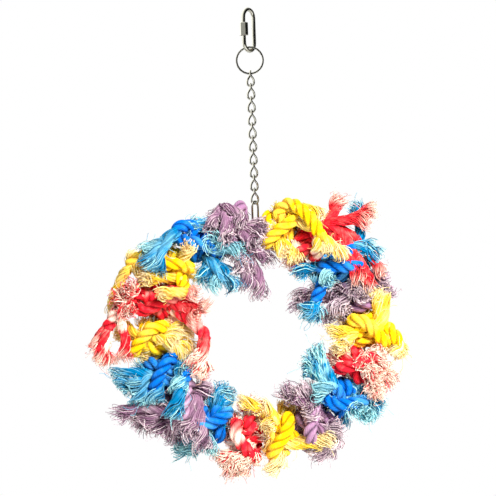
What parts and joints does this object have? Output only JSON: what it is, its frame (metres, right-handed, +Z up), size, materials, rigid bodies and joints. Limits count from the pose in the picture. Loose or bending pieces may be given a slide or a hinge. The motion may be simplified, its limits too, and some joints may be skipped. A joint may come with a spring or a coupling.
{
  "type": "hanging rope ring for pet birds",
  "caption": "Hanging bird toy: a steel hoop hidden under knotted cotton ropes with frayed ends, in four dyed colours, on a short twisted-link chain with a split ring and a screw quick link.",
  "frame": {"origin": "inside top of the quick link's eye, the point that hangs on a cage bar", "axes": "+Z up along the chain, +X to the right of someone facing the ring, +Y away from them; the hoop lies in the XZ plane"},
  "size_m": [0.2703, 0.0625, 0.3935],
  "materials": {
    "plated_steel": "bright nickel plate",
    "yellow_cotton": "dyed three-strand cotton rope, ends frayed",
    "red_cotton": "dyed three-strand cotton rope, ends frayed",
    "blue_cotton": "dyed three-strand cotton rope, ends frayed",
    "mauve_cotton": "dyed three-strand cotton rope, ends frayed"
  },
  "bodies": {
    "quick_link": {"quick_link_body": "plated_steel"},
    "sleeve": {"quick_link_sleeve": "plated_steel"},
    "split_ring": {"split_ring": "plated_steel"},
    "link_01": {"chain_link_01": "plated_steel"},
    "link_02": {"chain_link_02": "plated_steel"},
    "link_03": {"chain_link_03": "plated_steel"},
    "link_04": {"chain_link_04": "plated_steel"},
    "link_05": {"chain_link_05": "plated_steel"},
    "link_06": {"chain_link_06": "plated_steel"},
    "link_07": {"chain_link_07": "plated_steel"},
    "link_08": {"chain_link_08": "plated_steel"},
    "link_09": {"chain_link_09": "plated_steel"},
    "link_10": {"chain_link_10": "plated_steel"},
    "hoop_link": {"hoop_link": "plated_steel"},
    "wreath": {"hoop": "plated_steel", "rope_yellow_1": "yellow_cotton", "rope_red_1": "red_cotton", "rope_blue_1": "blue_cotton", "rope_mauve_1": "mauve_cotton", "rope_yellow_2": "yellow_cotton", "rope_red_2": "red_cotton", "rope_blue_2": "blue_cotton", "rope_mauve_2": "mauve_cotton", "rope_yellow_3": "yellow_cotton", "rope_red_3": "red_cotton", "rope_blue_3": "blue_cotton", "rope_mauve_3": "mauve_cotton", "rope_blue_4": "blue_cotton", "rope_yellow_4": "yellow_cotton", "rope_red_4": "red_cotton", "rope_yellow_5": "yellow_cotton", "rope_blue_5": "blue_cotton", "rope_mauve_4": "mauve_cotton"}
  },
  "joints": [
    {"name": "sleeve_travel", "type": "slide", "parent": "quick_link", "child": "sleeve", "axis": [0, 0, -1], "range_m": [0, 0.005]},
    {"name": "split_ring_swing", "type": "hinge", "parent": "quick_link", "child": "split_ring", "pos_m": [0, 0, -0.03275], "axis": [0.6157, 0.788, 0], "range_deg": [-30, 30]},
    {"name": "link_01_swing", "type": "hinge", "parent": "split_ring", "child": "link_01", "pos_m": [0, 0, -0.05156], "axis": [1, 0, 0], "range_deg": [-50, 50]},
    {"name": "link_02_swing", "type": "hinge", "parent": "link_01", "child": "link_02", "pos_m": [0, 0, -0.05978], "axis": [0, 1, 0], "range_deg": [-50, 50]},
    {"name": "link_03_swing", "type": "hinge", "parent": "link_02", "child": "link_03", "pos_m": [0, 0, -0.07278], "axis": [-1, 0, 0], "range_deg": [-50, 50]},
    {"name": "link_04_swing", "type": "hinge", "parent": "link_03", "child": "link_04", "pos_m": [0, 0, -0.08138], "axis": [0, -1, 0], "range_deg": [-50, 50]},
    {"name": "link_05_swing", "type": "hinge", "parent": "link_04", "child": "link_05", "pos_m": [0, 0, -0.09438], "axis": [1, 0, 0], "range_deg": [-50, 50]},
    {"name": "link_06_swing", "type": "hinge", "parent": "link_05", "child": "link_06", "pos_m": [0, 0, -0.10298], "axis": [0, 1, 0], "range_deg": [-50, 50]},
    {"name": "link_07_swing", "type": "hinge", "parent": "link_06", "child": "link_07", "pos_m": [0, 0, -0.11598], "axis": [-1, 0, 0], "range_deg": [-50, 50]},
    {"name": "link_08_swing", "type": "hinge", "parent": "link_07", "child": "link_08", "pos_m": [0, 0, -0.12458], "axis": [0, -1, 0], "range_deg": [-50, 50]},
    {"name": "link_09_swing", "type": "hinge", "parent": "link_08", "child": "link_09", "pos_m": [0, 0, -0.13758], "axis": [1, 0, 0], "range_deg": [-50, 50]},
    {"name": "link_10_swing", "type": "hinge", "parent": "link_09", "child": "link_10", "pos_m": [0, 0, -0.14618], "axis": [0, 1, 0], "range_deg": [-50, 50]},
    {"name": "hoop_link_swing", "type": "hinge", "parent": "link_10", "child": "hoop_link", "pos_m": [0, 0, -0.15698], "axis": [0, -1, 0], "range_deg": [-45, 45]},
    {"name": "wreath_swing", "type": "hinge", "parent": "hoop_link", "child": "wreath", "pos_m": [0, 0, -0.17663], "axis": [-1, 0, 0], "range_deg": [-60, 60]}
  ]
}
